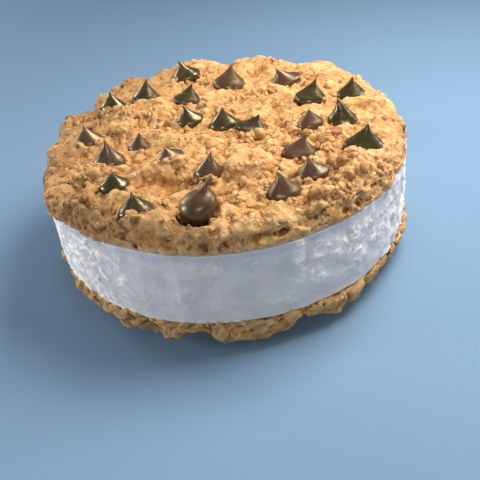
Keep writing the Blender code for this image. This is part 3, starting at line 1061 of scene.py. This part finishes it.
def ice_cream_piece(name, node):
    """The ice cream's wall as a fine grid cast on its CAD solid, with its hidden faces left plain."""
    solid_points, solid_faces = node_arrays(node)
    tree = BVHTree.FromPolygons(solid_points.tolist(), solid_faces.tolist())
    low, high = solid_points[:, 2].min(), solid_points[:, 2].max()
    middle = (solid_points.min(axis=0) + solid_points.max(axis=0)) / 2
    turns = np.arange(WALL_AROUND) * math.tau / WALL_AROUND
    rows = []
    for radius, height in wall_profile(high - low):
        z = low + height
        sample = min(max(z, low + WALL_BEVEL), high - WALL_BEVEL)
        axis = Vector((middle[0], middle[1], sample))
        row = []
        for turn in turns:
            out = Vector((math.cos(turn), math.sin(turn), 0))
            wall = radius
            if radius is None or radius > 42:
                hit = tree.ray_cast(axis + out * CAST_FROM, -out, CAST_FROM)[0]
                reach = (hit - axis).length
                wall = reach if radius is None else min(radius, reach)
            row.append([middle[0] + out.x * wall, middle[1] + out.y * wall, z])
        rows.append(row)
    points, quads = tube(rows)

    offset = points - middle
    bearing = np.degrees(np.arctan2(offset[:, 1], offset[:, 0]))
    up = (points[:, 2] - low) / (high - low)
    on_wall = smoothstep(41.5, 43.2, np.hypot(offset[:, 0], offset[:, 1]))
    outward = unit(offset * [1, 1, 0])
    relief, white = frost_at(points, bearing, up)
    points = points + outward * (relief * on_wall)[:, None]

    mesh = mesh_of(name, points, quads)
    fill_holes(mesh)
    set_attribute(mesh, "hill", relief_of(mesh, WALL_HILL_STEPS))
    set_attribute(mesh, "frost", white)
    # Painted shadow of the cookie's rim at the top of the wall
    set_attribute(mesh, "painted_rim_shadow", smoothstep(0.84, 0.98, up + 0.05 * noise_at(points, 5.0, 77.0)))
    mesh.shade_smooth()
    return add_object(name, mesh)


# ---------------------------------------------------------------- chips

CHIP_AROUND = 48
CHIP_UP = 34
# Chips given the olive tint: a painted reflection, the cast that warm reflected light gives dark brown
# chocolate
OLIVE_CHIPS = ("01", "02", "03", "05", "07", "08", "09", "10", "12", "13", "14", "24", "25")
# (share of the rise, or of the depth below 0, radius over width), as the CAD chips are turned
DROP = (
    (-1.0, 0.34),
    (-0.55, 0.46),
    (-0.1, 0.50),
    (0.12, 0.47),
    (0.34, 0.335),
    (0.56, 0.20),
    (0.78, 0.09),
    (1.0, 0.012),
)
BULB = (
    (-1.0, 0.30),
    (-0.5, 0.44),
    (0.0, 0.50),
    (0.16, 0.515),
    (0.34, 0.455),
    (0.47, 0.32),
    (0.57, 0.17),
    (0.67, 0.09),
    (0.84, 0.055),
    (1.0, 0.012),
)
RIDGES = ((10, 1.0), (7, 0.8), (5, 0.5))  # (how narrow, how strong)


def profile_radius(profile, shares):
    """The profile's radius at each share of the height, along a smooth curve through its points."""
    at = np.array([share for share, _ in profile])
    radius = np.array([value for _, value in profile])
    slope = np.gradient(radius, at)
    i = np.clip(np.searchsorted(at, shares, side="right") - 1, 0, len(at) - 2)
    step = at[i + 1] - at[i]
    t = (shares - at[i]) / step
    return (
        radius[i] * (2 * t**3 - 3 * t**2 + 1)
        + slope[i] * step * (t**3 - 2 * t**2 + t)
        + radius[i + 1] * (3 * t**2 - 2 * t**3)
        + slope[i + 1] * step * (t**3 - t**2)
    )


def drop_arrays(rng, chip):
    """A smooth chocolate drop with soft ridges that run up to its leaning tip."""
    rise = chip["tip"][2] - chip["foot"][2] - CHIP_SUNK
    bulb = is_bulb(chip)
    profile = BULB if bulb else DROP
    swell = BULB_SWELL if bulb else 1.0
    shares = np.concatenate([np.linspace(-1, 0, 8)[:-1], np.linspace(0, 1, CHIP_UP) ** 0.9])
    radius = profile_radius(profile, shares) * 2
    turn = np.arange(CHIP_AROUND) * math.tau / CHIP_AROUND
    ridges = rng.uniform(0, math.tau, 3)
    lean = (chip["tip"] - chip["foot"])[:2]
    tilt = 0.0 if bulb else min(0.6 * math.hypot(*lean) / rise, 0.35)
    rows = []
    for share, wide in zip(shares, radius):
        climb = max(share, 0.0)
        strength = (0.02 if bulb else 0.13) * math.sin(math.pi * min(climb * 1.1 + 0.12, 1))
        crest = np.zeros(CHIP_AROUND)
        for ridge, (power, weight) in zip(ridges, RIDGES):
            crest += weight * np.clip(np.cos(turn - ridge - 0.5 * climb), 0, 1) ** power
        shape = wide * (1 + strength * (crest - 0.35))
        along = chip["half_length"] * shape * swell * np.cos(turn)
        across = chip["half_width"] * shape * swell * np.sin(turn)
        cos, sin = math.cos(chip["long_way"]), math.sin(chip["long_way"])
        x = chip["foot"][0] + cos * along - sin * across + lean[0] * climb**1.7
        y = chip["foot"][1] + sin * along + cos * across + lean[1] * climb**1.7
        z = chip["foot"][2] + CHIP_SUNK + (share * rise if share > 0 else share * CHIP_SUNK)
        back = (x - chip["foot"][0]) * lean[0] + (y - chip["foot"][1]) * lean[1]
        z = z - tilt * back / max(math.hypot(*lean), 0.1) * (1 - climb) ** 2
        rows.append(np.stack([x, y, z], axis=1))
    return tube(rows)


def chips_piece(name, chips, seed):
    """All the drops as one mesh, with each drop's colour as its tint; the olive tint is a painted
    reflection.
    """
    rng = np.random.default_rng(seed)
    parts = [drop_arrays(rng, chip) for chip in chips]
    points, faces = joined(parts)
    tints = []
    for chip, (chip_points, _) in zip(chips, parts):
        shades = (0.75, 1.0) if chip["name"][-2:] in OLIVE_CHIPS else (0.0, 0.25)
        tints.append(np.full(len(chip_points), rng.uniform(*shades)))
    mesh = mesh_of(name, points, faces)
    wobble = 0.05 * noise_at(points, 2.2, 1.0) + 0.02 * noise_at(points, 0.9, 3.0)
    set_points(mesh, boxed(points + normals_of(mesh) * wobble[:, None]))
    set_attribute(mesh, "tint", np.concatenate(tints))
    fill_holes(mesh)
    mesh.shade_smooth()
    return add_object(name, mesh)


# ---------------------------------------------------------------- materials


class Nodes:
    """A small helper for building a node material."""

    def __init__(self, name):
        self.material = bpy.data.materials.new(name)
        self.material.use_nodes = True
        self.tree = self.material.node_tree
        self.shader = self.tree.nodes["Principled BSDF"]

    def link(self, value, socket):
        if isinstance(value, bpy.types.NodeSocket):
            self.tree.links.new(value, socket)
        elif isinstance(value, tuple) and len(value) == 3 and socket.type == "RGBA":
            socket.default_value = (*value, 1)
        else:
            socket.default_value = value

    def new(self, kind, **inputs):
        node = self.tree.nodes.new(kind)
        for name, value in inputs.items():
            self.link(value, node.inputs[name.replace("_", " ")])
        return node

    def attribute(self, name):
        node = self.tree.nodes.new("ShaderNodeAttribute")
        node.attribute_name = name
        return node.outputs["Fac"]

    def position(self):
        return self.tree.nodes.new("ShaderNodeTexCoord").outputs["Object"]

    def noise(self, size, detail=4.0, roughness=0.55):
        """Noise with features about `size` millimetres across."""
        node = self.new(
            "ShaderNodeTexNoise",
            Vector=self.position(),
            Scale=1 / (size * MM),
            Detail=detail,
            Roughness=roughness,
        )
        return node.outputs["Fac"]

    def pebbles(self, size, warp):
        """How far a place is from the cracks between pebbles about `size` millimetres across."""
        scale = 1 / (1.6 * size * MM)
        shift = self.new("ShaderNodeTexNoise", Vector=self.position(), Scale=scale, Detail=0.5)
        moved = self.tree.nodes.new("ShaderNodeVectorMath")
        moved.operation = "MULTIPLY_ADD"
        self.link(shift.outputs["Color"], moved.inputs[0])
        moved.inputs[1].default_value = (warp * MM,) * 3
        self.link(self.position(), moved.inputs[2])
        node = self.new("ShaderNodeTexVoronoi", Vector=moved.outputs[0], Scale=1 / (size * MM))
        node.feature = "DISTANCE_TO_EDGE"
        return node.outputs["Distance"]

    def span(self, value, low, high, to_low=0.0, to_high=1.0):
        """A value carried smoothly from one range to another."""
        ends = {"From_Min": low, "From_Max": high, "To_Min": to_low, "To_Max": to_high}
        node = self.new("ShaderNodeMapRange", Value=value, **ends)
        node.interpolation_type = "SMOOTHSTEP"
        return node.outputs["Result"]

    def mix(self, factor, first, second, mode="MIX"):
        node = self.tree.nodes.new("ShaderNodeMix")
        node.data_type = "RGBA"
        node.blend_type = mode
        self.link(factor, node.inputs["Factor"])
        self.link(first, node.inputs[6])  # 6 and 7 are its colours A and B
        self.link(second, node.inputs[7])
        return node.outputs[2]

    def coats(self, colour, *coats):
        """A colour under others: (what drives it, where it starts, where it is full, most, colour)."""
        for source, start, full, most, paint in coats:
            colour = self.mix(self.span(source, start, full, 0, most), colour, paint)
        return colour

    def math(self, kind, first, second=0.0):
        node = self.tree.nodes.new("ShaderNodeMath")
        node.operation = kind
        self.link(first, node.inputs[0])
        self.link(second, node.inputs[1])
        return node.outputs[0]

    def bump(self, height, distance, strength=1.0):
        node = self.new("ShaderNodeBump", Height=height, Distance=distance * MM, Strength=strength)
        return node.outputs["Normal"]

    def finish(self, **inputs):
        for name, value in inputs.items():
            self.link(value, self.shader.inputs[name.replace("_", " ")])
        return self.material


# Colours of the cookie dough in full light: tan, rosy, pale, toasted, olive, then painted shade for
# creases and for deep pits
DOUGH_COLOURS = (
    (0.55, 0.300, 0.112),
    (0.58, 0.305, 0.130),
    (0.72, 0.485, 0.230),
    (0.42, 0.175, 0.045),
    (0.26, 0.20, 0.085),
    (0.22, 0.095, 0.032),
    (0.090, 0.040, 0.016),
)
# The colour that the dough is multiplied by where the painted shade lies
PAINTED_SHADE_TINT = (0.59, 0.57, 0.56)
SMEARED_CHOCOLATE = (0.14, 0.075, 0.035)
# Painted shade: the lower cookie is the same dough as the upper, painted darker for the shade it lies in
LOWER_SHADE_TONE = 0.78  # how dark the lower cookie's dough is, next to the upper's


def dough_material(name, tone):
    """Cookie dough: pale grains, tan hills, orange-brown patches, with painted highlight on hills and
    crests and painted shade in hollows, creases and pits.
    """
    n = Nodes(name)
    tan, rosy, pale, toasted, olive, crease, dark = (
        tuple(part * tone for part in colour) for colour in DOUGH_COLOURS
    )
    hill = n.attribute("hill")
    pit_shade_crest_light = n.attribute("pit_shade_crest_light")
    colour = n.coats(
        tan,
        (n.noise(7.0, 3.0), 0.40, 0.62, 1, rosy),
        (n.noise(4.0, 4.0), 0.48, 0.66, 0.7, pale),
        (n.noise(5.0, 5.0, 0.6), 0.54, 0.68, 0.5, toasted),
        (n.attribute("toasted"), 0.1, 0.9, 0.75, toasted),
        (n.attribute("olive"), 0.1, 0.9, 0.6, olive),
        # Painted highlight on hills and painted shade in hollows
        (hill, 0.02, 0.45, 0.7, pale),
        (hill, -0.06, -0.45, 0.8, toasted),
        (n.noise(0.8, 3.0, 0.6), 0.50, 0.64, 0.35, pale),
        (n.noise(0.6, 4.0, 0.7), 0.46, 0.34, 0.35, toasted),
        # Painted highlight on crests, painted shade in creases and deeper in pits
        (pit_shade_crest_light, 0.0, 0.12, 0.4, pale),
        (pit_shade_crest_light, -0.05, -0.14, 0.85, crease),
        (pit_shade_crest_light, -0.12, -0.24, 0.9, dark),
    )
    # Painted shade: the dough is multiplied darker at the left-side spots
    colour = n.mix(n.attribute("painted_shade"), colour, PAINTED_SHADE_TINT, "MULTIPLY")
    colour = n.coats(colour, (n.attribute("smeared"), 0.2, 0.6, 0.8, SMEARED_CHOCOLATE))
    pebbles = n.pebbles(1.6, 0.9)
    patchy = n.span(n.noise(3.5, 3.0), 0.40, 0.64)
    # Painted shade in the cracks between pebbles
    crack_shade = n.math("MULTIPLY", n.span(pebbles, 0.13, 0.01), patchy)
    colour = n.mix(n.math("MULTIPLY", crack_shade, 0.5), colour, crease)
    domes = n.math("MULTIPLY", n.span(pebbles, 0.0, 0.22), n.math("MULTIPLY", patchy, 0.55))
    grain = n.math("ADD", domes, n.noise(0.55, 4.0, 0.6))
    return n.finish(
        Base_Color=colour,
        Roughness=n.span(n.noise(1.5, 3.0), 0.3, 0.7, 0.60, 0.85),
        Normal=n.bump(grain, 0.30, 0.9),
        Specular_IOR_Level=0.22,
    )


def ice_cream_material():
    """White frost over smooth ice cream, which is a little grey, with a painted bluish shadow under the
    cookie's rim.
    """
    n = Nodes("frosty_vanilla")
    cream = (0.71, 0.70, 0.71)
    shade = (0.61, 0.61, 0.645)
    frost = (0.98, 0.98, 0.97)
    painted_rim_shadow = (0.42, 0.44, 0.62)
    speckle = n.span(n.noise(0.7, 4.0, 0.6), 0.30, 0.60, 0.55, 1.0)
    patchy = n.math("MULTIPLY", n.attribute("frost"), speckle)
    colour = n.coats(
        shade,
        (n.noise(6.0, 4.0), 0.35, 0.65, 1, cream),
        (patchy, 0.05, 0.8, 1, frost),
        (n.attribute("hill"), 0.03, 0.25, 0.4, frost),
        (n.attribute("painted_rim_shadow"), 0, 1, 0.45, painted_rim_shadow),
    )
    return n.finish(
        Base_Color=colour,
        Roughness=n.span(n.noise(2.5, 4.0), 0.35, 0.65, 0.32, 0.55),
        Normal=n.bump(n.noise(0.5, 4.0, 0.65), 0.12, 0.7),
        Subsurface_Weight=0.25,
        Subsurface_Radius=(1.0, 1.0, 1.0),
        Subsurface_Scale=0.6 * MM,
        Specular_IOR_Level=0.5,
    )


def chocolate_material():
    """Satin chocolate. The tint runs from brown to a glossier dark olive, which is the olive cast of
    warm reflections painted into the colour.
    """
    n = Nodes("satin_chocolate")
    brown = (0.076, 0.035, 0.023)
    olive = (0.036, 0.028, 0.011)
    bloom = (0.15, 0.095, 0.042)
    tint = n.attribute("tint")
    colour = n.coats(
        brown,
        (tint, 0.25, 0.75, 1, olive),
        (n.noise(2.5, 3.0), 0.50, 0.80, 0.5, bloom),
    )
    satin = n.span(tint, 0.25, 0.75, 0.08, 0.0)
    return n.finish(
        Base_Color=colour,
        Roughness=n.math("ADD", n.span(n.noise(1.8, 3.0), 0.3, 0.7, 0.24, 0.34), satin),
        Normal=n.bump(n.noise(1.6, 2.0), 0.12, 0.5),
        IOR=1.6,
        Specular_IOR_Level=0.85,
        Specular_Tint=(1.0, 0.86, 0.56),
    )


# ---------------------------------------------------------------- stage, lights and camera

ELEVATION = math.radians(28.6)
ROLL = math.radians(7.5)
DISTANCE = 174.4  # from the middle of the ice cream's top
TARGET_ASIDE = -0.0249  # where that point lies in the view, as tangents
TARGET_ABOVE = 0.1331
LENS = 52.5
WORLD_COLOUR = (0.66, 0.76, 0.92, 1)
WORLD_STRENGTH = 0.17
FLOOR_COLOURS = ((0.155, 0.27, 0.43), (0.17, 0.29, 0.455))
# Soft lights: (name, bearing from +X, elevation, distance, size, power, colour)
LIGHTS = (
    ("key", 16, 56, 0.21, 0.13, 0.88, (1.0, 0.93, 0.82)),
    ("front", -96, 21, 0.60, 0.07, 0.95, (1.0, 0.90, 0.76)),
    ("left_rim", 176, 8, 0.45, 0.10, 1.10, (1.0, 0.98, 0.95)),
    ("left_back", 138, 15, 0.45, 0.12, 0.60, (1.0, 0.94, 0.82)),
    ("right_rim", 8, 10, 0.45, 0.16, 0.55, (1.0, 0.96, 0.90)),
)


def ice_top():
    """The middle of the ice cream's top, which the camera and the lights are set from."""
    low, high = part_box("ice_cream")
    return Vector(((low.x + high.x) / 2, (low.y + high.y) / 2, high.z))


def add_camera():
    """Looks down at the front, with the sandwich turned a little in the view."""
    data = bpy.data.cameras.new("view")
    data.lens = LENS
    data.sensor_width = 36
    data.clip_start = 0.01
    camera = bpy.data.objects.new("view", data)
    bpy.context.scene.collection.objects.link(camera)
    back = Vector((0, -math.cos(ELEVATION), math.sin(ELEVATION)))
    right = Vector((1, 0, 0))
    up = back.cross(right)
    level = Matrix((right, up, back)).transposed()
    rolled = level @ Matrix.Rotation(-ROLL, 3, "Z")
    target = Vector((TARGET_ASIDE, TARGET_ABOVE, -1))
    aside = Vector((0, 0, -1)).rotation_difference(target).to_matrix()
    place = (rolled @ aside.transposed()).to_4x4()
    place.translation = ice_top() + back * DISTANCE * MM
    camera.matrix_world = place
    bpy.context.scene.camera = camera


def add_area_light(name, bearing, elevation, distance, size, power, colour):
    """A square soft light that looks at the sandwich."""
    data = bpy.data.lights.new(name, "AREA")
    data.size = size
    data.energy = power
    data.color = colour
    light = bpy.data.objects.new(name, data)
    bpy.context.scene.collection.objects.link(light)
    turn, rise = math.radians(bearing), math.radians(elevation)
    away = Vector((math.cos(turn) * math.cos(rise), math.sin(turn) * math.cos(rise), math.sin(rise)))
    light.location = ice_top() + away * distance
    light.rotation_euler = away.to_track_quat("Z", "Y").to_euler()


def add_stage():
    """A wide pale blue floor and a dim sky."""
    mesh = bpy.data.meshes.new("floor")
    bm = bmesh.new()
    bmesh.ops.create_circle(bm, cap_ends=True, radius=3.0, segments=96)
    bm.to_mesh(mesh)
    bm.free()
    floor = add_object("floor", mesh)
    n = Nodes("pale_floor")
    colour = n.mix(n.span(n.noise(400.0, 2.0), 0.3, 0.7), *FLOOR_COLOURS)
    mesh.materials.append(n.finish(Base_Color=colour, Roughness=0.9))

    world = bpy.data.worlds.new("studio")
    bpy.context.scene.world = world
    world.use_nodes = True
    sky = world.node_tree.nodes["Background"]
    sky.inputs["Color"].default_value = WORLD_COLOUR
    sky.inputs["Strength"].default_value = WORLD_STRENGTH


# ---------------------------------------------------------------- assembly


def show(piece, material, nodes):
    """Gives a piece its material, hangs it under the root and hides the CAD nodes that it stands for."""
    piece.data.materials.clear()
    piece.data.materials.append(material)
    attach(piece, "root")
    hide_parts(*nodes)


def build():
    """Makes every piece, then the stage, the lights and the camera."""
    top, grains = dough_piece("upper_dough", "top_cookie", TOP_CHIPS, 1, SEED)
    golden = dough_material("golden_dough", 1.0)
    show(top, golden, ["top_cookie"])
    show(grains_piece("dough_grains", grains), golden, ["top_cookie"])
    bottom, _ = dough_piece("lower_dough", "bottom_cookie", UNDER_CHIPS, -1, SEED + 1)
    # A darker, shaded copy of the dough: painted shade
    brown = dough_material("shaded_brown_dough", LOWER_SHADE_TONE)
    show(bottom, brown, ["bottom_cookie"])
    wall = ice_cream_piece("frosty_ice_cream", "ice_cream")
    show(wall, ice_cream_material(), ["ice_cream"])
    chocolate = chocolate_material()
    drops = chips_piece("chocolate_drops", TOP_CHIPS, SEED + 2)
    show(drops, chocolate, [chip["name"] for chip in TOP_CHIPS])
    for chip in UNDER_CHIPS:
        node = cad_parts[chip["name"]]
        for slot in node.material_slots:
            slot.material = chocolate
    add_stage()
    for light in LIGHTS:
        add_area_light(*light)
    add_camera()
    bpy.context.scene.view_settings.view_transform = "Standard"


build()
